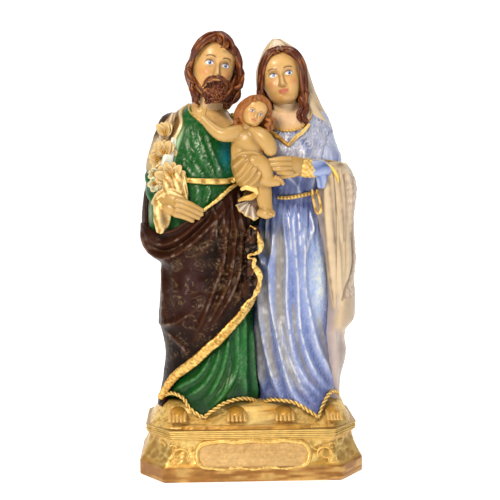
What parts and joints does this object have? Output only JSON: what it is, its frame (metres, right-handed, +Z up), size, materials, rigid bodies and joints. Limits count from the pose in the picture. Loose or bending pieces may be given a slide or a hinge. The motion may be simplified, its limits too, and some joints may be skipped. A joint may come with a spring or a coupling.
{
  "type": "holy family statue",
  "caption": "Standing man, veiled woman and small child on a moulded plinth, cast as one painted figure group that stands on its flat underside.",
  "frame": {"origin": "centre of the underside's bounding rectangle, on the surface the statue stands on", "axes": "+Z up; the figures face -Y; +X is to the viewer's right, on the woman's side"},
  "size_m": [0.154, 0.09, 0.3025],
  "materials": {
    "painted_casting": "hand-painted plaster and resin casting, green, brown, blue, cream and gold, under a gloss varnish"
  },
  "bodies": {
    "root": {"holy_family_casting": "painted_casting"}
  },
  "joints": []
}
